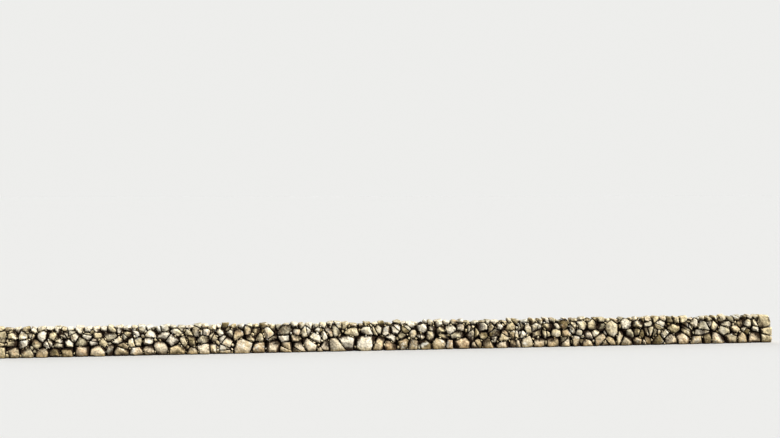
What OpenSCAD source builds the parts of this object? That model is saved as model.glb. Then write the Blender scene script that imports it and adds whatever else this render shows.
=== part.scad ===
// Dry stone wall: two battered faces of fitted fieldstone with hearting between them,
// a top course through the whole thickness and a stacked head at each end.
// The wall runs along X, its front faces -Y, and the origin is at the middle of its base.

/* [Wall] */
// Length of one bay along the wall
bay_length = 5400; // [4500:50:6500]
// Thickness of the wall at the ground
base_width = 840; // [780:10:1000]
// Thickness of the wall at its crest
crest_width = 520; // [500:10:640]

/* [Courses] */
// Height of the footing boulders
footing_height = 400; // [340:10:460]
// Height of the second course
second_height = 320; // [280:10:380]
// Height of the third course
third_height = 270; // [240:10:330]
// Height of the top course
top_height = 210; // [180:10:260]
// Rise and fall of the crest about its mean line
crest_wave = 40; // [0:5:60]
// Slope of the top of a stone along the crest, in degrees
crest_slope = 10; // [0:1:15]

/* [Stones] */
// Mean length of a footing boulder
footing_length = 530; // [480:10:700]
// Mean length of a stone in the second course
second_length = 440; // [400:10:600]
// Mean length of a stone in the third course
third_length = 400; // [380:10:560]
// Mean length of a stone in the top course
top_length = 300; // [260:10:420]
// Depth of a face stone, from the face to the hearting
stone_depth = 250; // [200:5:270]
// Depth behind the face at which neighbours bear on each other
bearing_depth = 100; // [70:5:130]
// How far the edges of a stone draw in at the face
edge_round = 46; // [15:1:60]
// How far the middle of a stone stands proud of its edges
crown = 40; // [10:1:60]
// How far the tail of a stone tapers
tail_taper = 45; // [10:1:60]
// Most that the long side of a stone is turned from level, in degrees
stone_turn = 38; // [0:1:45]
// Clearance between two stones where they bear
seat_gap = 0.3; // [0.2:0.05:0.6]
// Number of the pattern in which the stones are laid
pattern = 11; // [1:1:60]

/* [Heads] */
// Mean length of a head stone along the wall
head_length = 560; // [480:10:640]
// How much longer and shorter the head stones are in turn
head_bond = 60; // [0:5:90]
// Length of the large block on the right head
end_block_length = 740; // [640:10:820]
// Height of the large block on the right head
end_block_height = 560; // [480:10:620]
// How far the outer end of the large block slopes back from its point, in degrees
end_block_slope = 36; // [0:1:45]
// Height of the blunt point at that end
end_block_point = 110; // [80:5:200]

/* [Hidden] */
bay_count = 6;
bays = [1 : bay_count];
wall_length = bay_count * bay_length;
leaf_height = footing_height + second_height + third_height;
wall_height = leaf_height + top_height;
batter = (base_width - crest_width) / 2 / wall_height;
hearting_height = leaf_height - third_height / 2;
course_heights = [footing_height, second_height, third_height, top_height];
course_lengths = [footing_length, second_length, third_length, top_length];
footing = 0;
top = len(course_heights) - 1;
third = top - 1;
second = third - 1;
run_start = -wall_length / 2 + head_length;
run_end = wall_length / 2 - head_length;
shift = 0.28;
size_spread = 0.26;
flat_spread = 0.36;
course_turns = [stone_turn / 5, stone_turn, stone_turn, stone_turn * 0.75];
lean = 7;
reach = 1300;
set_room = 5;
shortest_edge = 18;
stream_step = 10;

// Half the thickness of the wall at a height
function half_width(z) = base_width / 2 - batter * z;

// Height of the middle of a course
function course_middle(course, k = 0) =
    k >= course ? course_heights[course] / 2 : course_heights[k] + course_middle(course, k + 1);

// A seed is [x, z, radius, course, flatness, turn]: the middle of a stone, how much room it takes,
// its length over its height, and how far its long side is turned up, in degrees.
// The third course and the crest have the same joints on both faces.
function course_seeds(course, side) =
    let(
        count = round((run_end - run_start) / course_lengths[course]),
        pitch = (run_end - run_start) / count,
        own = side == "back" && course < third ? stream_step / 2 : 0,
        stream = (pattern * stream_step + course) * stream_step + own,
        along = rands(-shift, shift, count, stream),
        up = rands(-shift, shift, count, stream + 1),
        room = rands(1 - size_spread, 1 + size_spread, count, stream + 2),
        flat = rands(1 - flat_spread, 1 + flat_spread, count, stream + 3),
        turn = rands(-1, 1, count, stream + 4)
    )
    [for (k = [0 : count - 1])
        let(inner = k > 0 && k < count - 1 ? 1 : 0)
        [
            run_start + (k + 0.5 + inner * along[k]) * pitch,
            course_middle(course) + inner * up[k] * course_heights[course] * 0.7,
            room[k] * pitch / 2,
            course,
            flat[k],
            inner * turn[k] * course_turns[course]
        ]
    ];

// The stones of the left head, one a course, long and short in turn
left_seeds = [for (course = [footing : top])
    let(length = head_length + (course % 2 == 0 ? head_bond : -head_bond))
    [-wall_length / 2 + length / 2, course_middle(course), length / 2, course, 1, 0]
];

// The stones of the right head, with the large block on top
under_block = wall_height - end_block_height;
right_seeds = [
    [wall_length / 2 - (head_length + head_bond) / 2, under_block * 0.29, head_length / 2, footing, 1, 0],
    [wall_length / 2 - (head_length - head_bond) / 2, under_block * 0.79, head_length / 2, second, 1, 0],
    [
        wall_length / 2 - end_block_length / 2,
        wall_height - end_block_height / 2,
        end_block_length / 2,
        top,
        1,
        0
    ]
];

function turned(v, angle) = [
    v[0] * cos(angle) - v[1] * sin(angle),
    v[0] * sin(angle) + v[1] * cos(angle)
];

// The part of a convex outline on the near side of a line, where p * n <= c
function clip(outline, n, c) = [
    for (i = [0 : 1 : len(outline) - 1])
        let(
            a = outline[i],
            b = outline[(i + 1) % len(outline)],
            da = a * n - c,
            db = b * n - c
        )
        each concat(
            da <= 0 ? [a] : [],
            (da < 0) != (db < 0) && da != db ? [a + (b - a) * da / (da - db)] : []
        )
];

// Stones set by hand in both faces:
// [bay, along the bay, height of the middle, radius, flatness, turn]
set_stones = [
    [1, 4520, 770, 210, 1.3, 0],
    [2, 110, 530, 240, 1.6, 0],
    [2, 720, 870, 200, 1.2, 0],
    [2, 1070, 340, 260, 1.2, 0],
    [2, 1300, 720, 190, 1.7, 0],
    [2, 1770, 900, 210, 1.0, 0],
    [2, 2720, 870, 180, 0.9, 0],
    [2, 3200, 660, 200, 1.0, 0],
    [2, 3200, 220, 240, 1.1, 0],
    [2, 4190, 800, 260, 1.0, 0],
    [2, 4390, 330, 290, 1.7, 0],
    [2, 4870, 840, 190, 0.7, 0],
    [2, 5390, 790, 240, 0.8, 0],
    [3, 680, 900, 220, 1.6, 0],
    [3, 680, 500, 210, 1.3, 0],
    [3, 1650, 320, 280, 1.5, 0],
    [3, 3170, 430, 250, 2.2, 0],
    [3, 3440, 800, 200, 1.5, 0],
    [3, 3980, 400, 260, 2.2, 0],
    [3, 4590, 340, 200, 1.0, 0],
    [3, 5010, 500, 210, 0.7, 0],
    [4, 150, 300, 250, 1.4, 0],
    [4, 560, 620, 210, 1.1, 0],
    [4, 1730, 750, 210, 1.3, 0],
    [4, 2320, 620, 200, 2.2, 0],
    [4, 2910, 850, 190, 0.8, 0],
    [4, 3460, 880, 230, 1.0, 0],
    [4, 3460, 500, 200, 1.1, 0],
    [4, 4350, 460, 250, 1.4, 0],
    [5, 2218, 632, 180, 1.3, 65],
    [5, 2522, 503, 190, 1.8, -55],
    [5, 3131, 764, 190, 1.4, 50],
    [5, 3175, 371, 227, 1.3, 30],
    [5, 3640, 700, 380, 0.6, 0],
    [5, 3962, 418, 193, 2.2, 72],
    [5, 4225, 950, 240, 1.2, 0],
    [5, 4489, 508, 180, 1.5, -40],
    [5, 4929, 423, 180, 1.5, 80],
    [5, 5238, 819, 160, 1.6, 75],
    [6, 103, 447, 180, 1.5, 80],
    [6, 346, 866, 190, 1.8, 50],
    [6, 545, 427, 190, 1.8, -35],
    [6, 989, 650, 200, 1.1, -40],
    [6, 1590, 785, 160, 2.0, -40],
    [6, 2149, 501, 170, 2.0, 5],
    [6, 2686, 813, 170, 2.0, -33],
    [6, 3226, 560, 160, 1.8, 0],
    [6, 3316, 870, 170, 1.8, -22],
    [6, 3767, 597, 160, 1.6, -30],
    [6, 4270, 840, 240, 0.5, 0]
];

// The course that a height falls in
function course_at(z, k = 0) =
    z < course_heights[k] || k == third ? k : course_at(z - course_heights[k], k + 1);

set_seeds = [
    for (f = set_stones)
        [-wall_length / 2 + (f[0] - 1) * bay_length + f[1], f[2], f[3], course_at(f[2]), f[4], f[5]]
];

// How a stone stretches the plane of the face: by its flatness along its turned long side
function stretch(s) =
    let(way = [cos(s[5]), sin(s[5])], more = s[4] - 1)
    [
        [1 + more * way[0] * way[0], more * way[0] * way[1]],
        [more * way[0] * way[1], 1 + more * way[1] * way[1]]
    ];

function inverse(m) =
    [[m[1][1], -m[0][1]], [-m[1][0], m[0][0]]] / (m[0][0] * m[1][1] - m[0][1] * m[1][0]);

// Whether a stone of a course keeps clear of the stones set by hand
function has_room(s) = [
    for (f = set_seeds)
        if (norm(inverse(stretch(f)) * [s[0] - f[0], s[1] - f[1]]) < f[2] + set_room) f
] == [];

function face_seeds(side) = [
    for (course = [footing : third])
        for (s = course_seeds(course, side))
            if (has_room(s)) s,
    each set_seeds
];

front_seeds = face_seeds("front");
back_seeds = face_seeds("back");
top_seeds = course_seeds(top, "front");
through_seeds = concat(top_seeds, left_seeds, right_seeds);

// Cuts an outline back to its side of the joint that two stones share.
// Both stones get the same line, so they never overlap.
function cut_by(outline, s, other) =
    let(
        shrink = inverse((stretch(s) + stretch(other)) / 2),
        apart = [other[0] - s[0], other[1] - s[1]],
        d = norm(shrink * apart),
        share = (d * d + s[2] * s[2] - other[2] * other[2]) / (2 * d * d),
        way = shrink * (shrink * apart),
        tilt = lean * sin(97 * (s[0] + other[0]) + 31 * (s[1] + other[1])),
        n = turned(way / norm(way), tilt),
        on_joint = [s[0], s[1]] + share * apart
    )
    clip(outline, n, n * on_joint - seat_gap / 2);

function cut_by_all(outline, s, others, k = 0) =
    k >= len(others) ? outline : cut_by_all(cut_by(outline, s, others[k]), s, others, k + 1);

// Corners closer together than the shortest edge become one
function tidy(outline) = [
    for (i = [0 : 1 : len(outline) - 1])
        if (norm(outline[i] - outline[(i + 1) % len(outline)]) > shortest_edge) outline[i]
];

function area(outline) = outline == [] ? 0 : abs([
    for (i = [0 : len(outline) - 1])
        let(a = outline[i], b = outline[(i + 1) % len(outline)])
        a[0] * b[1] - a[1] * b[0]
] * [for (p = outline) 1]) / 2;

function mean(points) = [for (p = points) 1] * points / len(points);

// Outline of one stone on the face, in x and z, between what it lies on, the crest and its neighbours
function cell(s, seeds, low_z = 0) =
    let(
        near = [for (o = seeds) if (abs(o[0] - s[0]) < reach && norm([o[0] - s[0], o[1] - s[1]]) > 1) o],
        low_x = max(s[0] - reach, -wall_length / 2),
        high_x = min(s[0] + reach, wall_length / 2),
        high_z = wall_height + 4 * crest_wave,
        start = [[low_x, low_z], [high_x, low_z], [high_x, high_z], [low_x, high_z]],
        wave = rands(-1, 1, 2, round(s[0]) + 9),
        up = turned([0, 1], wave[1] * crest_slope),
        crest = clip(start, up, up * [s[0], wall_height + wave[0] * crest_wave])
    )
    tidy(cut_by_all(crest, s, near));

// A corner drawn in towards the middle
function drawn_in(p, middle, by) = p + (middle - p) * min(by / norm(middle - p), 0.6);

// A point of the wall at x and z, a depth behind the face on one side
function at(p, depth, side) =
    let(y = half_width(p[1]) - depth)
    [p[0], side == "front" ? -y : y, p[1]];

// Rounded face of a stone: a crown in the middle, a ring of edges and the ring it bears on
function face_points(outline, side, stream) =
    let(
        middle = mean(outline),
        count = len(outline),
        inward = rands(0.5, 1.7, count, stream),
        back_set = rands(0.6, 1.3, count, stream + 1),
        off = rands(-0.2, 0.2, 2, stream + 2)
    )
    concat(
        [at(middle + [off[0] * edge_round, off[1] * edge_round], 0, side)],
        [for (i = [0 : count - 1])
            at(drawn_in(outline[i], middle, edge_round * inward[i]), crown * back_set[i], side)],
        [for (p = outline) at(p, bearing_depth, side)]
    );

// Tail of a face stone, which ends just short of the hearting
function tail_points(outline, side) =
    let(middle = mean(outline))
    [for (i = [0 : len(outline) - 1])
        let(p = outline[i], q = drawn_in(p, middle, tail_taper))
        if (i % 2 == 0 || p[1] == 0)
            at([q[0], p[1] == 0 ? 0 : q[1]], stone_depth - seat_gap, side)
    ];

module solid(points) {
    hull() polyhedron(points, [[for (i = [0 : len(points) - 1]) i]]);
}

module face_stone(outline, side) {
    if (area(outline) > shortest_edge * stone_depth)
        solid(concat(
            face_points(outline, side, round(outline[0][0])),
            tail_points(outline, side)
        ));
}

// An outline that comes to a blunt point at the right end of the wall
function pointed(outline, middle_z) =
    let(
        tip = [wall_length / 2, middle_z],
        upper = turned([1, 0], end_block_slope),
        lower = turned([1, 0], -end_block_slope),
        half = [0, end_block_point / 2]
    )
    tidy(clip(clip(outline, upper, upper * (tip + half)), lower, lower * (tip - half)));

module through_stone(s, low_z = 0, has_point = false) {
    whole = cell(s, concat(front_seeds, back_seeds, through_seeds), low_z);
    outline = has_point ? pointed(whole, s[1]) : whole;
    solid(concat(
        face_points(outline, "front", round(s[0])),
        face_points(outline, "back", round(s[0]) + 5)
    ));
}

// The bay in which a stone has its middle, from 1
function bay_of(s) = min(bay_count, 1 + floor((s[0] + wall_length / 2) / bay_length));

module face_stones(bay, side, courses) {
    own = side == "front" ? front_seeds : back_seeds;
    for (s = own)
        if (bay_of(s) == bay && search(s[3], courses) != [])
            face_stone(cell(s, concat(own, through_seeds)), side);
}

module front_footing(bay) {
    color("tan") face_stones(bay, "front", [footing]);
}

module front_face(bay) {
    color("wheat") face_stones(bay, "front", [second, third]);
}

module back_footing(bay) {
    color("tan") face_stones(bay, "back", [footing]);
}

module back_face(bay) {
    color("wheat") face_stones(bay, "back", [second, third]);
}

module top_course(bay) {
    color("antiquewhite")
        for (s = top_seeds)
            if (bay_of(s) == bay)
                through_stone(s, hearting_height + seat_gap);
}

module hearting(bay) {
    left_clear = head_length + 2 * head_bond + seat_gap;
    right_clear = end_block_length + head_bond + seat_gap;
    low_x = -wall_length / 2 + (bay == 1 ? left_clear : (bay - 1) * bay_length);
    high_x = -wall_length / 2 + bay * bay_length - (bay == bay_count ? right_clear : seat_gap);
    low_half = half_width(0) - stone_depth;
    high_half = half_width(hearting_height) - stone_depth;
    color("dimgray")
        translate([low_x, 0, 0])
        rotate([90, 0, 90])
        linear_extrude(high_x - low_x)
        polygon([
            [-low_half, 0],
            [low_half, 0],
            [high_half, hearting_height],
            [-high_half, hearting_height]
        ]);
}

module left_head() {
    color("burlywood") for (s = left_seeds) through_stone(s);
}

module right_head() {
    color("burlywood") for (s = right_seeds) through_stone(s, has_point = s[3] == top);
}

for (b = bays) {
    front_footing(b);
    front_face(b);
    back_footing(b);
    back_face(b);
    hearting(b);
    top_course(b);
}
left_head();
right_head();
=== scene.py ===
import math
import random
import bpy
import numpy as np
from mathutils import Matrix, Vector
from mathutils.bvhtree import BVHTree


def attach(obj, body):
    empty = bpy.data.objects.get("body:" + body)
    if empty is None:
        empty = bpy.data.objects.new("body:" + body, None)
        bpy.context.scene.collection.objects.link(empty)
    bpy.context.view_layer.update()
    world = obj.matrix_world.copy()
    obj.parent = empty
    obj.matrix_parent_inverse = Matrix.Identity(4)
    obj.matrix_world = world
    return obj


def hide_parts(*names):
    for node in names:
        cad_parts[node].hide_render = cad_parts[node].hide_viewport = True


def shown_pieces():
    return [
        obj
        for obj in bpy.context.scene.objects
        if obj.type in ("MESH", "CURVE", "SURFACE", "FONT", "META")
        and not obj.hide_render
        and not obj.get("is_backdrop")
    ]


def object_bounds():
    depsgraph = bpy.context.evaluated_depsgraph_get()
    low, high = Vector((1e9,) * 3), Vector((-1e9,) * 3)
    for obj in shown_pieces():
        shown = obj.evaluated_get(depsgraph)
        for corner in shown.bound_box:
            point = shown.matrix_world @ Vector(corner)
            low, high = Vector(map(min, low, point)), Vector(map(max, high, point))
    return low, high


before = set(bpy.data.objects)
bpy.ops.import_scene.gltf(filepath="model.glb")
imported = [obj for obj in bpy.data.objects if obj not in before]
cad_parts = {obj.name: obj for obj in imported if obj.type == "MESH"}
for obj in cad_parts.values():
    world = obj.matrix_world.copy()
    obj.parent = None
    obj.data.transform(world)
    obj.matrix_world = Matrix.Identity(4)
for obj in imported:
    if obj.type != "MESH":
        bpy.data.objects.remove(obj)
cadLow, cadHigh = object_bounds()
scene = bpy.context.scene
scene.view_settings.view_transform = "Standard"
print("frame loaded:", len(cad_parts), "nodes")

wall = {
    "bays": 6,
    "bayLength": 5.4,
    "halfBase": 0.42,       # half the thickness at the ground
    "batter": 0.4 / 3,      # how much each face leans in for a metre of height
    "end": 16.2,            # from the middle to either end
    "ground": 0.01,         # a stone that reaches below this stands on the ground
    "crestFrom": 1.1,       # a stone that reaches above this lies along the crest
    "crestLip": 0.035,      # so far below its top such a stone still counts as open, for its shape and for the soil and painted shade of the joints
    "noTop": 9.0,           # the top of a stone that isn't open there
    "overlap": 0.4,         # stones of the next bay count as near up to here
}
bays = range(1, wall["bays"] + 1)


def bayStart(bay):
    return -wall["end"] + (bay - 1) * wall["bayLength"]


# How far the face stands from the middle of the wall at a height
def faceAt(height):
    return wall["halfBase"] - wall["batter"] * height


# Shader helpers

def addNode(tree, kind, inputs=None, **settings):
    node = tree.nodes.new(kind)
    for key, value in settings.items():
        setattr(node, key, value)
    for key, value in (inputs or {}).items():
        if isinstance(value, bpy.types.NodeSocket):
            tree.links.new(value, node.inputs[key])
        else:
            node.inputs[key].default_value = value
    return node


def mathNode(tree, operation, *values, clamp=False):
    inputs = dict(enumerate(values))
    return addNode(tree, "ShaderNodeMath", inputs, operation=operation, use_clamp=clamp).outputs[0]


def vectorNode(tree, operation, *values):
    inputs = dict(enumerate(values))
    return addNode(tree, "ShaderNodeVectorMath", inputs, operation=operation).outputs[0]


def mixColour(tree, factor, first, second, blend="MIX"):
    inputs = {0: factor, 6: first, 7: second}
    return addNode(tree, "ShaderNodeMix", inputs, data_type="RGBA", blend_type=blend).outputs[2]


def shadeColour(tree, colourSocket, factor):
    grey = addNode(tree, "ShaderNodeCombineColor", {0: factor, 1: factor, 2: factor}).outputs[0]
    return mixColour(tree, 1.0, colourSocket, grey, "MULTIPLY")


def smoothStep(tree, value, low, high, to=(0.0, 1.0)):
    inputs = {"Value": value, "From Min": low, "From Max": high, "To Min": to[0], "To Max": to[1]}
    return addNode(tree, "ShaderNodeMapRange", inputs, interpolation_type="SMOOTHSTEP").outputs[0]


def noise(tree, place, scale, detail=4.0, roughness=0.55, distortion=0.0):
    inputs = {"Vector": place, "Scale": scale, "Detail": detail}
    inputs |= {"Roughness": roughness, "Distortion": distortion}
    return addNode(tree, "ShaderNodeTexNoise", inputs).outputs["Fac"]


def objectPlace(tree):
    return addNode(tree, "ShaderNodeTexCoord").outputs["Object"]


def upwardness(tree):
    normal = addNode(tree, "ShaderNodeNewGeometry").outputs["Normal"]
    return addNode(tree, "ShaderNodeSeparateXYZ", {0: normal}).outputs[2]


def newGroup(name, inputs, outputs):
    tree = bpy.data.node_groups.new(name, "ShaderNodeTree")
    for socketName, value in inputs.items():
        kind = "NodeSocketFloat" if isinstance(value, float) else "NodeSocketColor"
        tree.interface.new_socket(socketName, in_out="INPUT", socket_type=kind).default_value = value
    for socketName in outputs:
        kind = "NodeSocketColor" if socketName == "Color" else "NodeSocketFloat"
        tree.interface.new_socket(socketName, in_out="OUTPUT", socket_type=kind)
    return tree, tree.nodes.new("NodeGroupInput").outputs, tree.nodes.new("NodeGroupOutput").inputs


def placeGroup(tree, group, inputs=None):
    return addNode(tree, "ShaderNodeGroup", inputs, node_tree=group).outputs


def colour(*levels):
    # from the 0 to 255 of a picture to Blender's linear values
    linear = [c / 3294.6 if c <= 10 else ((c / 255 + 0.055) / 1.055) ** 2.4 for c in levels]
    return (*linear, 1.0)


# The colour of the stone itself, which differs from stone to stone and within a stone

tint = {
    "shift": (37.0, 23.0, 51.0),        # how far its tone moves the pattern on a stone
    # scale, detail, roughness and distortion of the noise
    "mottle": (3.4, 3.0, 0.5),
    "stains": (4.6, 5.0, 0.6, 0.8),
    "patches": (10.0, 6.0, 0.68, 0.7),
    "coolShare": 0.7,           # the most of the cool colour
    "rustShare": 0.75,
    "layerScale": 3.1,
    "layerBend": 11.0,
    "layerShade": (0.9, 1.06),  # brightness of the darkest and palest layer
    "patchShade": (0.6, 1.3),
}


def makeTintGroup():
    inputs = {
        "Pale": colour(220, 210, 184),
        "Mid": colour(184, 173, 144),
        "Dark": colour(110, 104, 88),
        "Rust": colour(176, 138, 96),
        "Cool": colour(170, 168, 158),
        "Mottle": 0.6,
    }
    tree, given, out = newGroup("stoneTint", inputs, ["Color"])
    tone = addNode(tree, "ShaderNodeAttribute", attribute_name="stoneTone").outputs["Color"]
    share = addNode(tree, "ShaderNodeSeparateColor", {0: tone}).outputs
    own = vectorNode(tree, "MULTIPLY_ADD", tone, tint["shift"], objectPlace(tree))
    broad = mathNode(tree, "SUBTRACT", noise(tree, own, *tint["mottle"]), 0.5)
    spread = mathNode(tree, "MULTIPLY", broad, mathNode(tree, "MULTIPLY", given["Mottle"], 2.0))
    level = mathNode(tree, "ADD", share[0], spread, clamp=True)
    body = mixColour(tree, smoothStep(tree, level, 0.0, 0.5), given["Dark"], given["Mid"])
    body = mixColour(tree, smoothStep(tree, level, 0.45, 1.0), body, given["Pale"])
    cool = smoothStep(tree, share[2], 0.65, 1.0, (0.0, tint["coolShare"]))
    body = mixColour(tree, cool, body, given["Cool"])
    stain = mathNode(tree, "MULTIPLY_ADD", share[1], 0.3, noise(tree, own, *tint["stains"]))
    rust = smoothStep(tree, stain, 0.6, 0.86, (0.0, tint["rustShare"]))
    body = mixColour(tree, rust, body, given["Rust"])
    waves = {"Vector": own, "Scale": tint["layerScale"], "Distortion": tint["layerBend"]}
    waves |= {"Detail": 4.0, "Detail Scale": 1.7}
    layers = addNode(tree, "ShaderNodeTexWave", waves, bands_direction="DIAGONAL").outputs["Fac"]
    body = shadeColour(tree, body, smoothStep(tree, layers, 0.0, 1.0, tint["layerShade"]))
    patches = noise(tree, own, *tint["patches"])
    body = shadeColour(tree, body, smoothStep(tree, patches, 0.34, 0.66, tint["patchShade"]))
    tree.links.new(body, out["Color"])
    return tree


# Irregular crusts that thin out at their edges, more of them where rain and light fall

def makeCrustGroup():
    inputs = {"Amount": 0.5, "Scale": 9.0, "Edge": 0.06, "Lift": 0.05}
    tree, given, out = newGroup("lichenCrust", inputs, ["Mask"])
    place = objectPlace(tree)
    fields = noise(tree, place, mathNode(tree, "MULTIPLY", given["Scale"], 0.23), 2.0)
    ragged = noise(tree, place, given["Scale"], 9.0, 0.76, 0.25)
    lift = mathNode(tree, "MULTIPLY", mathNode(tree, "MAXIMUM", upwardness(tree), 0.0), given["Lift"])
    value = mathNode(tree, "MULTIPLY_ADD", fields, 0.7, mathNode(tree, "ADD", ragged, lift))
    start = mathNode(tree, "MULTIPLY_ADD", given["Amount"], -0.35, 1.12)
    end = mathNode(tree, "ADD", start, given["Edge"])
    tree.links.new(smoothStep(tree, value, start, end), out["Mask"])
    return tree


# Painted light on what faces up and painted shade on what faces down, soil and painted shade deep in the
# joints, and damp at the foot

weatherAndPaintedShade = {
    "shade": (0.54, 1.16),          # painted shade on what faces down and painted light on what faces up
    "streakScale": (9.0, 9.0, 1.6),
    "streakShade": (1.08, 0.86),
    "ragged": 15.0,                 # scale of the noise along the edges of the soil and painted shade, and of the damp
    "soilAndShadeSway": 0.06,               # metres to which the edge of the soil and painted shade wanders
    "dampSway": 0.3,
    "dampHeight": (0.24, 0.02),     # the stone grows damp from the first to the second height
    "dampShare": 0.8,
}


def makeWeatherAndShadeGroup():
    inputs = {
        "Color": colour(184, 173, 144),
        # soil and painted shade, deep in the joints
        "SoilAndShade": colour(36, 22, 8),
        "Damp": colour(152, 139, 102),
        "Start": 0.045,
        "End": 0.11,
    }
    tree, given, out = newGroup("weatheringAndPaintedShade", inputs, ["Color"])
    place = objectPlace(tree)
    # painted light and shade: lighter where the surface faces up, darker where it faces down
    shade = smoothStep(tree, upwardness(tree), -0.7, 0.7, weatherAndPaintedShade["shade"])
    shaded = shadeColour(tree, given["Color"], shade)
    stretched = {"Vector": place, "Scale": weatherAndPaintedShade["streakScale"]}
    streaks = noise(tree, addNode(tree, "ShaderNodeMapping", stretched).outputs[0], 1.0, 4.0, 0.6)
    shaded = shadeColour(tree, shaded, smoothStep(tree, streaks, 0.38, 0.66, weatherAndPaintedShade["streakShade"]))
    # soil and painted shade, darker the deeper a point lies behind the open side
    recess = addNode(tree, "ShaderNodeAttribute", attribute_name="recess").outputs["Fac"]
    ragged = mathNode(tree, "SUBTRACT", noise(tree, place, weatherAndPaintedShade["ragged"], 4.0), 0.5)
    depth = mathNode(tree, "MULTIPLY_ADD", ragged, weatherAndPaintedShade["soilAndShadeSway"], recess)
    deep = smoothStep(tree, depth, given["Start"], given["End"])
    height = addNode(tree, "ShaderNodeSeparateXYZ", {0: place}).outputs[2]
    height = mathNode(tree, "MULTIPLY_ADD", ragged, weatherAndPaintedShade["dampSway"], height)
    foot = smoothStep(tree, height, *weatherAndPaintedShade["dampHeight"], (0.0, weatherAndPaintedShade["dampShare"]))
    damp = mixColour(tree, foot, shaded, given["Damp"], "MULTIPLY")
    tree.links.new(mixColour(tree, deep, damp, given["SoilAndShade"]), out["Color"])
    return tree


# Grain, pits and hairline cracks, as a height

grainHeight = {
    "coarse": 0.7,
    "fine": 0.16,
    "pits": 0.2,
    "cracks": 0.06,
    "crackScale": 3.3,
    "crackBend": 0.3,       # metres by which a crack strays
}


def makeGrainGroup():
    inputs = {"Coarse": 13.0, "Fine": 75.0, "Pits": 26.0}
    tree, given, out = newGroup("stoneGrain", inputs, ["Height", "Fleck"])
    place = objectPlace(tree)
    coarse = noise(tree, place, given["Coarse"], 6.0, 0.62, 0.4)
    fine = noise(tree, place, given["Fine"], 3.0, 0.6)
    cells = addNode(tree, "ShaderNodeTexVoronoi", {"Vector": place, "Scale": given["Pits"]})
    pit = smoothStep(tree, cells.outputs["Distance"], 0.05, 0.32)
    stray = addNode(tree, "ShaderNodeTexNoise", {"Vector": place, "Scale": 5.0}).outputs["Color"]
    bent = vectorNode(tree, "MULTIPLY_ADD", stray, (grainHeight["crackBend"],) * 3, place)
    cracked = {"Vector": bent, "Scale": grainHeight["crackScale"]}
    edges = addNode(tree, "ShaderNodeTexVoronoi", cracked, feature="DISTANCE_TO_EDGE")
    crack = smoothStep(tree, edges.outputs["Distance"], 0.0, 0.025)
    height = mathNode(tree, "MULTIPLY", coarse, grainHeight["coarse"])
    for relief, share in ((fine, "fine"), (pit, "pits"), (crack, "cracks")):
        height = mathNode(tree, "MULTIPLY_ADD", relief, grainHeight[share], height)
    tree.links.new(height, out["Height"])
    tree.links.new(fine, out["Fleck"])
    return tree


tintGroup = makeTintGroup()
crustGroup = makeCrustGroup()
weatherAndShadeGroup = makeWeatherAndShadeGroup()
grainGroup = makeGrainGroup()
print("shader groups made")

stoneLook = {
    "Pale": colour(248, 237, 212),
    "Mid": colour(236, 217, 172),
    "Dark": colour(122, 106, 68),
    "Rust": colour(212, 176, 132),
    "Cool": colour(184, 175, 146),
    "Mottle": 0.75,
    "white": colour(240, 236, 220),
    "black": colour(74, 59, 33),
    "ochre": colour(184, 166, 96),
    "whiteCrust": 0.46,
    "blackCrust": 0.53,
    "ochreCrust": 0.25,
    "fleck": (0.86, 1.1),       # brightness of the finest grain
    "roughness": (0.82, 0.97),
    "gloss": 0.2,
    "bump": 0.014,
}

crusts = {
    # scale, softness of the edge, strength, how much more of it grows on what faces up
    "black": (5.0, 0.1, 0.65, 0.0),
    "ochre": (12.0, 0.05, 0.5, 0.04),
    "white": (7.0, 0.07, 0.8, 0.08),
}


def stoneMaterial(name, **changes):
    look = {**stoneLook, **changes}
    material = bpy.data.materials.new(name)
    material.use_nodes = True
    tree = material.node_tree
    shader = tree.nodes["Principled BSDF"]
    tints = {key: look[key] for key in ("Pale", "Mid", "Dark", "Rust", "Cool", "Mottle")}
    surface = placeGroup(tree, tintGroup, tints)["Color"]
    for crust, (scale, edge, strength, lift) in crusts.items():
        inputs = {"Amount": look[crust + "Crust"], "Scale": scale, "Edge": edge, "Lift": lift}
        mask = mathNode(tree, "MULTIPLY", placeGroup(tree, crustGroup, inputs)["Mask"], strength)
        surface = mixColour(tree, mask, surface, look[crust])
    grain = placeGroup(tree, grainGroup)
    surface = shadeColour(tree, surface, smoothStep(tree, grain["Fleck"], 0.36, 0.64, look["fleck"]))
    # painted light and shade by facing, soil and painted shade in the joints, damp at the foot
    surface = placeGroup(tree, weatherAndShadeGroup, {"Color": surface})["Color"]
    tree.links.new(surface, shader.inputs["Base Color"])
    roughness = smoothStep(tree, grain["Height"], 0.3, 0.7, look["roughness"])
    tree.links.new(roughness, shader.inputs["Roughness"])
    shader.inputs["Specular IOR Level"].default_value = look["gloss"]
    relief = {"Height": grain["Height"], "Strength": 0.8, "Distance": look["bump"]}
    tree.links.new(addNode(tree, "ShaderNodeBump", relief).outputs[0], shader.inputs["Normal"])
    return material


footingTints = {"Pale": colour(242, 224, 192), "Mid": colour(222, 199, 156)}
materials = {
    "footing_stone": stoneMaterial("footingStone", **footingTints),
    "face_stone": stoneMaterial("faceStone"),
    "top_stone": stoneMaterial("topStone", whiteCrust=0.5),
    "head_stone": stoneMaterial("headStone", Pale=colour(236, 218, 174)),
    "hearting": stoneMaterial("heartingStone", whiteCrust=0.0, ochreCrust=0.0),
}


# Each stone is remeshed on its own, because its neighbours lie a hair's breadth away

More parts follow.
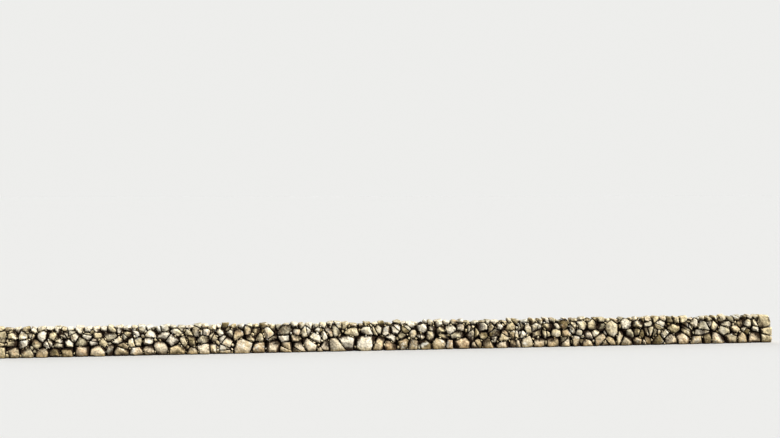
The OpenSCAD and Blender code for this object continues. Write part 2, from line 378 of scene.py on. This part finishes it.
stoneShape = {
    "splitShare": {"footing": 0.2, "face": 0.36},   # of the large stones, that have cracked in two
    "splitSize": 0.3,           # the least width and height of those, in metres
    "splitPlace": 0.14,         # how far off the middle a crack runs
    "splitGap": 0.008,
    "voxel": 0.025,
    "round": (0.0, 0.5),        # the least and most that a stone is worn round
    "smooth": (1, 0.5),         # how often and how far a worn stone is smoothed
    "facets": (2, 5),           # broad broken faces on each side of a stone
    "facetStray": 0.2,          # how unevenly they lie round the stone
    "facetLean": (8, 42),       # degrees
    "facetBite": (0.01, 0.075),
    "cuts": (2, 4),             # broken corners on each side of a stone
    "keep": (0.66, 0.97),       # how far out from the middle a corner is broken off
    "cutSlope": (10, 55),       # degrees that a broken corner leans back from the face
    "throughSlope": 26,         # the least for stones that show on both sides
    "footCut": -0.3,            # a footing stone has no broken corner that points lower than this
    "blockCuts": (2, 4),        # the same for the blocks of the heads
    "blockKeep": (0.86, 0.98),
    "blockLean": (3, 14),
    "topCuts": (1, 3),          # broken faces on top of a stone along the crest
    "topLean": (6, 46),
    "topAcross": 0.5,           # the share of that lean which they have to the front or back
    "topBite": (0.0, 0.1),
    "drawnIn": (0.06, 0.24),    # how much narrower at the face than its place in the wall a stone is
    "throughDrawnIn": (0.02, 0.14),
    "drawnHeight": 0.6,         # the share of that which its height loses
    "seated": (0.02, 0.19),     # from here to here behind the face a stone widens to its bearings
    "closed": (0.17, 0.24),     # from here to here behind the face its surface grows plain
    # size and depth in metres, and the share of the depth that goes inwards
    "hollows": (0.2, 0.038, 0.6),
    "knobs": (0.08, 0.016, 0.6),
    "chips": (0.045, 0.009, 0.5),
    "thin": 0.5,                # share of the triangles that stay deep in the wall
}


def newTexture(name, kind, size, **settings):
    texture = bpy.data.textures.new(name, kind)
    texture.noise_scale = size
    for key, value in settings.items():
        setattr(texture, key, value)
    return texture


reliefs = {
    "hollows": newTexture("broadHollows", "CLOUDS", stoneShape["hollows"][0], noise_depth=2),
    "knobs": newTexture("knobs", "VORONOI", stoneShape["knobs"][0]),
    "chips": newTexture("chips", "CLOUDS", stoneShape["chips"][0], noise_depth=3),
}


def makeActive(obj):
    bpy.ops.object.select_all(action="DESELECT")
    obj.select_set(True)
    bpy.context.view_layer.objects.active = obj


def applyModifier(obj, kind, **settings):
    modifier = obj.modifiers.new(kind.title(), kind)
    for key, value in settings.items():
        setattr(modifier, key, value)
    bpy.ops.object.modifier_apply(modifier=modifier.name)


def coordinates(mesh):
    flat = np.zeros(len(mesh.vertices) * 3, np.float32)
    mesh.vertices.foreach_get("co", flat)
    return flat.reshape(-1, 3).astype(float)


mergeDistance = 0.00001     # in metres: corners nearer than this are one corner


# Copies the stones of a node, each as an object of its own
def copyNode(nodeName):
    copy = bpy.data.objects.new("copy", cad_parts[nodeName].data.copy())
    scene.collection.objects.link(copy)
    makeActive(copy)
    bpy.ops.object.mode_set(mode="EDIT")
    bpy.ops.mesh.select_all(action="SELECT")
    bpy.ops.mesh.remove_doubles(threshold=mergeDistance)
    bpy.ops.mesh.separate(type="LOOSE")
    bpy.ops.object.mode_set(mode="OBJECT")
    return list(bpy.context.selected_objects)


def setAttribute(mesh, name, kind, values):
    layer = mesh.attributes.new(name, kind, "POINT")
    layer.data.foreach_set("color" if kind == "FLOAT_COLOR" else "value", np.ravel(values))


def markStone(mesh, tone, top):
    count = len(mesh.vertices)
    setAttribute(mesh, "stoneTone", "FLOAT_COLOR", np.tile((*tone, 1.0), (count, 1)))
    setAttribute(mesh, "stoneTop", "FLOAT", np.full(count, top))


# How far points lie behind the nearest open side of the wall
def recessOf(points, top):
    behindFace = faceAt(points[:, 2]) - abs(points[:, 1])
    belowTop = top - points[:, 2] - wall["crestLip"]
    behindEnd = wall["end"] - abs(points[:, 0])
    return np.minimum(np.minimum(behindFace, belowTop), behindEnd)


stoneTones = {
    "spread": (1.6, 0.9),       # the beta curve of the tones, from dark 0 to pale 1
    "crestDark": 0.35,          # a third of the crest stones keep only this share of their tone,
    "crestPale": (0.5, 0.4),    # and a third have the first of these and this share of their tone
    "headPale": (0.38, 0.42),   # the same for the stones of the heads
    "lift": 0.08,
    "fade": 0.2,                # how much darker the stones are towards the right end
    "fadeFrom": 2.0,            # metres to the right of the middle
    "fadeOver": 6.0,
    "warm": {"footing": 1.0},   # the most that each kind has, or else the next value
    "otherWarm": 0.6,
    "cool": {"head": 0.6},
    "otherCool": 1.0,
}


# How pale, how warm and how cool a stone is
def pickTone(rng, kind, x):
    tones = stoneTones
    tone = rng.betavariate(*tones["spread"])
    if kind == "top":
        least, share = tones["crestPale"]
        tone = rng.choice([tone, tone * tones["crestDark"], least + share * tone])
    towardsEnd = min(1.0, max(0.0, (x - tones["fadeFrom"]) / tones["fadeOver"]))
    tone += tones["lift"] - tones["fade"] * towardsEnd
    if kind == "head":
        least, share = tones["headPale"]
        tone = least + share * tone
    warm = rng.random() ** 2 * tones["warm"].get(kind, tones["otherWarm"])
    cool = rng.random() * tones["cool"].get(kind, tones["otherCool"])
    return (min(1.0, max(0.0, tone)), warm, cool)


def cutAway(place, way):
    bpy.ops.mesh.select_all(action="SELECT")
    bpy.ops.mesh.bisect(plane_co=place, plane_no=way, use_fill=True, clear_outer=True)


def breakStone(stone, points, middle, sides, rng, kind):
    shape = stoneShape
    through = len(sides) > 1
    block = kind == "head"
    bpy.ops.object.mode_set(mode="EDIT")
    if kind == "top":
        for cut in range(rng.randint(*shape["topCuts"])):
            around = rng.uniform(0, 2 * math.pi)
            lean = math.radians(rng.uniform(*shape["topLean"]))
            tilt = math.sin(lean)
            across = shape["topAcross"] * tilt * math.sin(around)
            way = np.array((tilt * math.cos(around), across, math.cos(lean)))
            way /= np.linalg.norm(way)
            cutAway(way * ((points @ way).max() - rng.uniform(*shape["topBite"])), way)
    for side in sides:
        turn = rng.uniform(0, 2 * math.pi)
        facets = rng.randint(*shape["facets"])
        for facet in range(facets):
            stray = rng.uniform(-shape["facetStray"], shape["facetStray"])
            around = turn + 2 * math.pi * (facet + stray) / facets
            lean = math.radians(rng.uniform(*shape["blockLean" if block else "facetLean"]))
            tilt = math.sin(lean)
            way = np.array((tilt * math.cos(around), side * math.cos(lean), tilt * math.sin(around)))
            cutAway(way * ((points @ way).max() - rng.uniform(*shape["facetBite"])), way)
        for cut in range(rng.randint(*shape["blockCuts" if block else "cuts"])):
            around = rng.uniform(0, 2 * math.pi)
            if kind == "footing" and math.sin(around) < shape["footCut"]:
                around = -around
            least, most = shape["cutSlope"]
            slope = math.radians(rng.uniform(shape["throughSlope"] if through else least, most))
            flat = math.cos(slope)
            way = np.array((math.cos(around) * flat, side * math.sin(slope), math.sin(around) * flat))
            farthest = (points @ way).max() - middle @ way
            keep = rng.uniform(*shape["blockKeep" if block else "keep"])
            cutAway(middle + way * farthest * keep, way)
    bpy.ops.object.mode_set(mode="OBJECT")


# A stone that has cracked right through, with the parts settled a little apart
def splitStone(stone, kind):
    points = coordinates(stone.data)
    middle = points.mean(0)
    rng = random.Random(f"crack {middle[0]:.2f} {middle[1]:.1f} {middle[2]:.2f}")
    wide, deep, high = np.ptp(points, axis=0)
    share = stoneShape["splitShare"].get(kind, 0)
    if min(wide, high) < stoneShape["splitSize"] or rng.random() > share:
        return [stone]
    turn = rng.uniform(0, math.pi)
    way = np.array((math.cos(turn), 0.0, math.sin(turn)))
    place = middle + way * np.ptp(points @ way) * rng.uniform(-1, 1) * stoneShape["splitPlace"]
    other = bpy.data.objects.new("copy", stone.data.copy())
    scene.collection.objects.link(other)
    for part, outward in ((stone, way), (other, -way)):
        makeActive(part)
        bpy.ops.object.mode_set(mode="EDIT")
        cutAway(place - outward * stoneShape["splitGap"] / 2, outward)
        bpy.ops.object.mode_set(mode="OBJECT")
    return [stone, other]


# Weights in eighths, because a group takes one weight for many corners at a time
def weigh(stone, name, weights):
    group = stone.vertex_groups.new(name=name)
    levels = 8
    steps = np.round(weights * levels).astype(int)
    for step in range(levels + 1):
        group.add(np.nonzero(steps == step)[0].tolist(), step / levels, "REPLACE")


# 1 near the open sides of the wall, 0 deep in it
def nearness(points, top, depths):
    near, far = stoneShape[depths]
    return np.clip((far - recessOf(points, top)) / (far - near), 0, 1)


def shapeStone(stone, kind):
    points = coordinates(stone.data)
    middle = points.mean(0)
    lowest = points[:, 2].min()
    highest = points[:, 2].max()
    rng = random.Random(f"{middle[0]:.2f} {middle[1]:.1f} {middle[2]:.2f}")
    makeActive(stone)
    through = kind in ("top", "head")
    sides = (-1, 1) if through else (np.sign(middle[1]),)
    breakStone(stone, points, middle, sides, rng, kind)
    applyModifier(stone, "REMESH", mode="VOXEL", voxel_size=stoneShape["voxel"])
    points = coordinates(stone.data)
    top = highest if through and highest > wall["crestFrom"] else wall["noTop"]
    opened = nearness(points, top, "closed")
    # a stone on the ground draws in towards the ground, and any other towards its middle
    pivot = middle * (1, 0, lowest > wall["ground"])
    drawn = rng.uniform(*stoneShape["throughDrawnIn" if through else "drawnIn"])
    drawn = drawn * nearness(points, top, "seated")
    points += (pivot - points) * drawn[:, None] * (1, 0, stoneShape["drawnHeight"])
    stone.data.vertices.foreach_set("co", points.ravel())
    weigh(stone, "worn", opened * rng.uniform(*stoneShape["round"]))
    weigh(stone, "open", opened)
    markStone(stone.data, pickTone(rng, kind, middle[0]), top)


# Keeps a mesh inside the wall's own box, and notes how deep each point lies
def setRecess(mesh):
    points = np.clip(coordinates(mesh), cadLow, cadHigh)
    mesh.vertices.foreach_set("co", points.ravel())
    tops = np.zeros(len(points), np.float32)
    mesh.attributes["stoneTop"].data.foreach_get("value", tops)
    setAttribute(mesh, "recess", "FLOAT", recessOf(points, tops))
    mesh.attributes.remove(mesh.attributes["stoneTop"])


def finishPiece(piece, slotName, nodeName=None):
    piece.data.materials.clear()
    piece.data.materials.append(materials[slotName])
    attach(piece, "root")
    if nodeName:
        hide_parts(nodeName)


def joinAs(objects, name):
    bpy.ops.object.select_all(action="DESELECT")
    for obj in objects:
        obj.select_set(True)
    bpy.context.view_layer.objects.active = objects[0]
    if len(objects) > 1:
        bpy.ops.object.join()
    piece = bpy.context.view_layer.objects.active
    piece.name = name
    piece.data.name = name
    return piece


def dressStones(nodeName, pieceName, slotName, kind):
    stones = [part for stone in copyNode(nodeName) for part in splitStone(stone, kind)]
    for stone in stones:
        shapeStone(stone, kind)
    piece = joinAs(stones, pieceName)
    times, factor = stoneShape["smooth"]
    applyModifier(piece, "SMOOTH", factor=factor, iterations=times, vertex_group="worn")
    local = {"texture_coords": "LOCAL", "direction": "NORMAL", "vertex_group": "open"}
    for relief, texture in reliefs.items():
        size, depth, level = stoneShape[relief]
        applyModifier(piece, "DISPLACE", texture=texture, strength=depth, mid_level=level, **local)
    deep = {"vertex_group": "open", "invert_vertex_group": True}
    applyModifier(piece, "DECIMATE", ratio=stoneShape["thin"], **deep)
    piece.vertex_groups.clear()
    setRecess(piece.data)
    bpy.ops.object.shade_smooth()
    finishPiece(piece, slotName, nodeName)
    return piece


laid = {bay: [] for bay in bays}
for bay in bays:
    laid[bay] = [
        dressStones(f"front_footing_{bay}", f"frontFooting{bay}", "footing_stone", "footing"),
        dressStones(f"front_face_{bay}", f"frontFace{bay}", "face_stone", "face"),
        dressStones(f"back_footing_{bay}", f"backFooting{bay}", "footing_stone", "footing"),
        dressStones(f"back_face_{bay}", f"backFace{bay}", "face_stone", "face"),
        dressStones(f"top_course_{bay}", f"topCourse{bay}", "top_stone", "top"),
    ]
    print("bay", bay, "stones dressed")
laid[1].append(dressStones("left_head", "leftHead", "head_stone", "head"))
laid[wall["bays"]].append(dressStones("right_head", "rightHead", "head_stone", "head"))


# Small stones, modelled a few times and copied into the gaps

chip = {
    "patterns": 10,
    "cuts": 7,                  # broken faces on each
    "keep": (0.45, 0.85),       # how far out from the middle they lie
    "rough": 0.07,
    "merge": 0.12,              # corners nearer than this become one
    "thin": 0.6,                # share of the triangles that stay
    "roll": 6,                  # radians that a copy is rolled over at most
    "sharp": math.radians(42),  # edges over this angle stay crisp
}


def makeChip(number):
    rng = random.Random(number)
    bpy.ops.object.select_all(action="DESELECT")
    bpy.ops.mesh.primitive_ico_sphere_add(subdivisions=2, radius=1.0)
    pattern = bpy.context.object
    pattern.name = f"chipPattern{number}"
    bpy.ops.object.mode_set(mode="EDIT")
    for cut in range(chip["cuts"]):
        way = Vector((rng.gauss(0, 1), rng.gauss(0, 1), rng.gauss(0, 1))).normalized()
        cutAway(way * rng.uniform(*chip["keep"]), way)
    bpy.ops.mesh.select_all(action="SELECT")
    bpy.ops.transform.vertex_random(offset=chip["rough"], seed=number)
    bpy.ops.mesh.remove_doubles(threshold=chip["merge"])
    bpy.ops.mesh.quads_convert_to_tris()
    bpy.ops.mesh.normals_make_consistent(inside=False)
    bpy.ops.object.mode_set(mode="OBJECT")
    applyModifier(pattern, "DECIMATE", ratio=chip["thin"])
    return pattern


chipPatterns = [makeChip(number) for number in range(chip["patterns"])]
print("chip patterns made:", [len(p.data.polygons) for p in chipPatterns])


def placeChip(place, sizes, turn, rng, tone, top=wall["noTop"]):
    copy = bpy.data.objects.new("chip", rng.choice(chipPatterns).data.copy())
    scene.collection.objects.link(copy)
    spin = Matrix.Rotation(rng.uniform(0, 2 * math.pi), 4, "Y")
    spin = spin @ Matrix.Rotation(rng.uniform(0, chip["roll"]), 4, "X")
    copy.data.transform(Matrix.Translation(place) @ turn @ Matrix.Diagonal((*sizes, 1.0)) @ spin)
    markStone(copy.data, tone, top)
    return copy


pins = {
    "seed": 40,
    "step": 0.03,               # metres between the places that are tried
    "bayRoom": (0.05, 0.02),    # no place is tried nearer than this to the start and the end of a bay
    "lowest": 0.06,
    "behind": (0.08, 0.15),     # how far behind the face the middle of a pin lies
    "gap": (0.012, 0.065),      # the least and most clearance that takes a pin
    "reach": 3.2,               # a pin is wedged if both sides are less than this many clearances away
    "tight": 1.12,              # size of a pin over the clearance that it fills
    "long": (0.9, 1.7),         # its length along the gap
    "deep": (1.2, 2.0),         # its depth into the wall
    "turn": 0.3,                # radians that it is turned either way
    "flush": 0.035,             # how far behind the face it ends
    "apart": 1.4,               # least distance of two pins over their two clearances
    "share": 0.7,               # how many of the gaps that could take a pin have one
    "tone": 0.42,               # how pale a pin is beside the stones
    "highest": 1.04,            # no pin lies above this,
    "endRoom": 0.12,            # or nearer than this to an end of the wall
}

graph = bpy.context.evaluated_depsgraph_get()
surfaces = {bay: [BVHTree.FromObject(piece, graph) for piece in laid[bay]] for bay in bays}


def nearSurfaces(x):
    shifts = (-wall["overlap"], 0, wall["overlap"])
    near = sorted({int((x + shift + wall["end"]) // wall["bayLength"]) + 1 for shift in shifts})
    return [surface for bay in near if bay in surfaces for surface in surfaces[bay]]


# The room to the nearest stone and the way away from it, or no way where the point is inside one
def clearance(point, near, limit):
    nearest = (limit, None)
    for surface in near:
        spot, normal, face, distance = surface.find_nearest(point, nearest[0])
        if spot:
            nearest = (distance, normal if (point - spot).dot(normal) > 0 else None)
    return nearest


# The widest gaps among the places, each with its room, its place and the way across it
def gapsOf(places, least, most, apart, extra=0.0):
    found = []
    for place in places:
        room, normal = clearance(place, nearSurfaces(place.x), most)
        if normal and room > least:
            found.append((room + extra, place, normal))
    found.sort(key=lambda gap: -gap[0])
    kept = []
    for gap in found:
        if all((gap[1] - other[1]).length > (gap[0] + other[0]) * apart for other in kept):
            kept.append(gap)
    return kept


def isHit(place, way, reach):
    return any(surface.ray_cast(place, Vector(way), reach)[0] for surface in nearSurfaces(place.x))


# Whether a stone lies within reach on both sides of a place
def wedged(place, way, reach):
    return isHit(place, way, reach) and isHit(place, -way, reach)


def layPins(bay, side, name):
    rng = random.Random(bay * side + pins["seed"])
    start = bayStart(bay)
    before, after = pins["bayRoom"]
    places = []
    for x in np.arange(start + before, start + wall["bayLength"] - after, pins["step"]):
        for z in np.arange(pins["lowest"], pins["highest"], pins["step"]):
            depth = rng.uniform(*pins["behind"])
            if abs(x) < wall["end"] - pins["endRoom"]:
                places.append(Vector((x, side * (faceAt(z) - depth), z)))
    chips = []
    for room, place, normal in gapsOf(places, *pins["gap"], pins["apart"]):
        across = Vector((normal.x, 0, normal.z)).normalized()
        if rng.random() > pins["share"] or not wedged(place, across, room * pins["reach"]):
            continue
        angle = math.atan2(across.z, across.x) + rng.uniform(-pins["turn"], pins["turn"])
        thick = room * pins["tight"]
        behind = faceAt(place.z) - abs(place.y)
        deep = min(thick * rng.uniform(*pins["deep"]), behind - pins["flush"])
        sizes = (thick, deep, thick * rng.uniform(*pins["long"]))
        level, warm, cool = pickTone(rng, "face", place.x)
        tone = (level * pins["tone"], warm, cool)
        chips.append(placeChip(place, sizes, Matrix.Rotation(-angle, 4, "Y"), rng, tone))
    piece = joinAs(chips, name)
    setRecess(piece.data)
    bpy.ops.object.shade_smooth_by_angle(angle=chip["sharp"])
    finishPiece(piece, "face_stone")
    return len(chips)


for bay in bays:
    counts = [layPins(bay, -1, f"frontPins{bay}"), layPins(bay, 1, f"backPins{bay}")]
    print("bay", bay, "pins:", counts)


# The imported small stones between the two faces, and those under the crest

hearting = {
    "voxel": 0.05,
    "stoneSize": 0.13,
    "depth": 0.07,
    "tone": (0.35, 0.2, 0.5),   # how pale, warm and cool the core is
    "packTone": (0.2, 0.7),     # how pale the small stones are
    "packWarm": 0.2,
    "packStep": 0.03,           # metres between the places that are tried
    "packStart": 0.05,          # the first of them, from the start of a bay and from the ground
    "packRows": (-0.09, 0.0, 0.09),
    "packGap": (0.004, 0.08),   # the least and most clearance that takes a small stone
    "packSize": 0.03,           # how much larger than its gap such a stone is
    "packDeep": 1.3,            # its depth over its width
    "packBase": 0.76,
    "packTop": 1.08,
    "packReach": 0.16,          # only between stones that are nearer than this
    "headReach": (1.0, 0.3),    # the same in a head, below the crest and between its stones
    "packLit": 0.98,            # from this height up such a stone is as free of soil and painted joint shade as the crest
    "packHead": 15.25,          # past here a head's gaps are packed from the ground up
    "packCover": 0.07,          # how far such a stone stays below the crest around it
    "packApart": 0.75,
}
rubbleTexture = newTexture("rubble", "VORONOI", hearting["stoneSize"])

# Stones that stop the light which would show through the wall
seal = {
    "ways": [(0, 1, 0), (0.2, 1, -0.3), (-0.2, 1, -0.3), (0.2, -1, -0.3), (-0.2, -1, -0.3)],
    "sight": 2.0,               # metres from which the light comes
    "start": (0.02, 0.04),      # the first place, from the start of a bay and from the ground
    "step": (0.03, 0.015),      # between the places that are tried, along and up
    "stray": 0.03,
    "size": (0.05, 0.07),
    "deep": 1.4,                # the depth of such a stone over its width
    "cool": 0.4,
    "apart": 0.075,
    "top": 1.08,
    "cover": 0.3,               # only under a stone that is nearer than this
}


def packReach(place):
    if abs(place.x) < hearting["packHead"]:
        return hearting["packReach"]
    return hearting["headReach"][place.z > hearting["packBase"]]


# The gaps under and between the crest stones are packed, and in a head those from the ground up
def isPacked(x, z):
    return z > hearting["packBase"] or abs(x) > hearting["packHead"]


# The middles of the holes that show light through the wall
def lightHoles(start, rng):
    holes = []
    ways = [Vector(way) for way in seal["ways"]]
    firstX, firstZ = seal["start"]
    along, up = seal["step"]
    for x in np.arange(start + firstX, start + wall["bayLength"], along):
        for z in np.arange(firstZ, seal["top"], up):
            hole = Vector((x, rng.uniform(-seal["stray"], seal["stray"]), z))
            if not isPacked(x, z) or any((hole - other).length < seal["apart"] for other in holes):
                continue
            if not isHit(hole, (0, 0, 1), seal["cover"]):
                continue
            if not all(isHit(hole - way, way, seal["sight"]) for way in ways):
                holes.append(hole)
    return holes


def dressHearting(bay):
    piece = copyNode(f"hearting_{bay}")[0]
    makeActive(piece)
    applyModifier(piece, "REMESH", mode="VOXEL", voxel_size=hearting["voxel"])
    push = {"strength": -hearting["depth"], "mid_level": 0.0, "texture_coords": "LOCAL"}
    applyModifier(piece, "DISPLACE", texture=rubbleTexture, **push)
    markStone(piece.data, hearting["tone"], wall["noTop"])
    rng = random.Random(bay)
    start = bayStart(bay)
    first, step = hearting["packStart"], hearting["packStep"]
    places = [
        Vector((x, y, z))
        for x in np.arange(start + first, start + wall["bayLength"], step)
        for y in hearting["packRows"]
        for z in np.arange(first, hearting["packTop"], step)
        if isPacked(x, z)
    ]
    holes = lightHoles(start, rng)
    cover = Vector((0, 0, hearting["packCover"]))
    along = Vector((1, 0, 0))
    chips = []
    places = [place for place in places if wedged(place + cover, along, packReach(place))]
    gaps = gapsOf(places, *hearting["packGap"], hearting["packApart"], hearting["packSize"])
    for size, place, normal in gaps:
        tone = (rng.uniform(*hearting["packTone"]), hearting["packWarm"], rng.random())
        sizes = (size, size * hearting["packDeep"], size)
        # high up, such a stone gets little of the soil and painted shade of the joints
        top = place.z + hearting["packCover"] if place.z > hearting["packLit"] else wall["noTop"]
        chips.append(placeChip(place, sizes, Matrix(), rng, tone, top))
    for hole in holes:
        size = rng.uniform(*seal["size"])
        tone = (rng.uniform(*hearting["packTone"]), hearting["packWarm"], seal["cool"])
        chips.append(placeChip(hole, (size, size * seal["deep"], size), Matrix(), rng, tone))
    piece = joinAs([piece, *chips], f"hearting{bay}")
    setRecess(piece.data)
    bpy.ops.object.shade_smooth_by_angle(angle=chip["sharp"])
    finishPiece(piece, "hearting", f"hearting_{bay}")
    return len(chips), len(holes)


print("hearting packed:", [dressHearting(bay) for bay in bays])
for pattern in chipPatterns:
    bpy.data.objects.remove(pattern)


# Floor, light and camera

studio = {
    "floorSize": 900,
    "floorColour": colour(238, 238, 236),
    "floorBounce": 0.22,    # how much of its light the floor throws back on the wall
    "skyStrength": 0.11,
    "sunHeight": 20,        # only where the lamps stand, because a sun lights all places alike
    "suns": {
        # strength, degrees to the right of square on, degrees above the floor, degrees across
        "softKey": (5.0, 48, 27, 4),
        "softFill": (1.1, 205, 28, 70),
    },
}


# 1 for what the camera sees, also in a mirror or through glass, and 0 for light on the wall
def seenDirectly(tree):
    rays = addNode(tree, "ShaderNodeLightPath").outputs
    reflected = mathNode(tree, "MAXIMUM", rays["Is Glossy Ray"], rays["Is Transmission Ray"])
    return mathNode(tree, "MAXIMUM", rays["Is Camera Ray"], reflected)


bpy.ops.object.select_all(action="DESELECT")
bpy.ops.mesh.primitive_plane_add(size=studio["floorSize"], location=(0, 0, cadLow.z))
floor = bpy.context.object
floor.name = "floor"
floor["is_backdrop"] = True
floorMaterial = bpy.data.materials.new("paleFloor")
floorMaterial.use_nodes = True
floorTree = floorMaterial.node_tree
floorShader = floorTree.nodes["Principled BSDF"]
bounce = (studio["floorBounce"],) * 3 + (1.0,)
floorTint = mixColour(floorTree, seenDirectly(floorTree), bounce, studio["floorColour"])
floorTree.links.new(floorTint, floorShader.inputs["Base Color"])
floorShader.inputs["Roughness"].default_value = 1.0
floorShader.inputs["Specular IOR Level"].default_value = 0.0
floor.data.materials.append(floorMaterial)

world = bpy.data.worlds.new("studioWorld")
scene.world = world
world.use_nodes = True
worldTree = world.node_tree
plain = worldTree.nodes["Background"]
plain.inputs["Color"].default_value = (1.0, 1.0, 1.0, 1.0)
plain.inputs["Strength"].default_value = studio["skyStrength"]
sunLight = 0.0
for strength, turn, rise, across in studio["suns"].values():
    sunLight += strength * math.sin(math.radians(rise))
floorLight = sunLight / math.pi + studio["skyStrength"]     # the backdrop is as bright as the lit floor
backdropInputs = {"Color": studio["floorColour"], "Strength": floorLight}
backdrop = addNode(worldTree, "ShaderNodeBackground", backdropInputs)
mixInputs = {0: seenDirectly(worldTree), 1: plain.outputs[0], 2: backdrop.outputs[0]}
chosen = addNode(worldTree, "ShaderNodeMixShader", mixInputs)
worldTree.links.new(chosen.outputs[0], worldTree.nodes["World Output"].inputs["Surface"])

for name, (strength, turn, rise, across) in studio["suns"].items():
    bpy.ops.object.light_add(type="SUN", location=(0, 0, studio["sunHeight"]))
    sun = bpy.context.object
    sun.name = name
    sun.data.energy = strength
    sun.data.angle = math.radians(across)
    sun.rotation_euler = (math.radians(90 - rise), 0, math.radians(turn))

photo = {
    "width": 780,
    "focal": 1200,              # in pixels
    "place": (-7.56, -48.76, 7.0),
    "turn": 8.37,               # degrees to the right of square on
    "fall": 1.88,               # degrees below level
    "farthest": 2000,           # metres that the camera sees
}
bpy.ops.object.camera_add(location=photo["place"])
camera = bpy.context.object
camera.data.lens = camera.data.sensor_width * photo["focal"] / photo["width"]
camera.data.clip_end = photo["farthest"]
camera.rotation_euler = (math.radians(90 - photo["fall"]), 0, -math.radians(photo["turn"]))
scene.camera = camera
print("studio and camera set")

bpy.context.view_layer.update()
triangles = {piece.name: sum(len(p.vertices) - 2 for p in piece.data.polygons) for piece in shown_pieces()}
print("triangles:", sum(triangles.values()), "most in one piece:", max(triangles.values()))
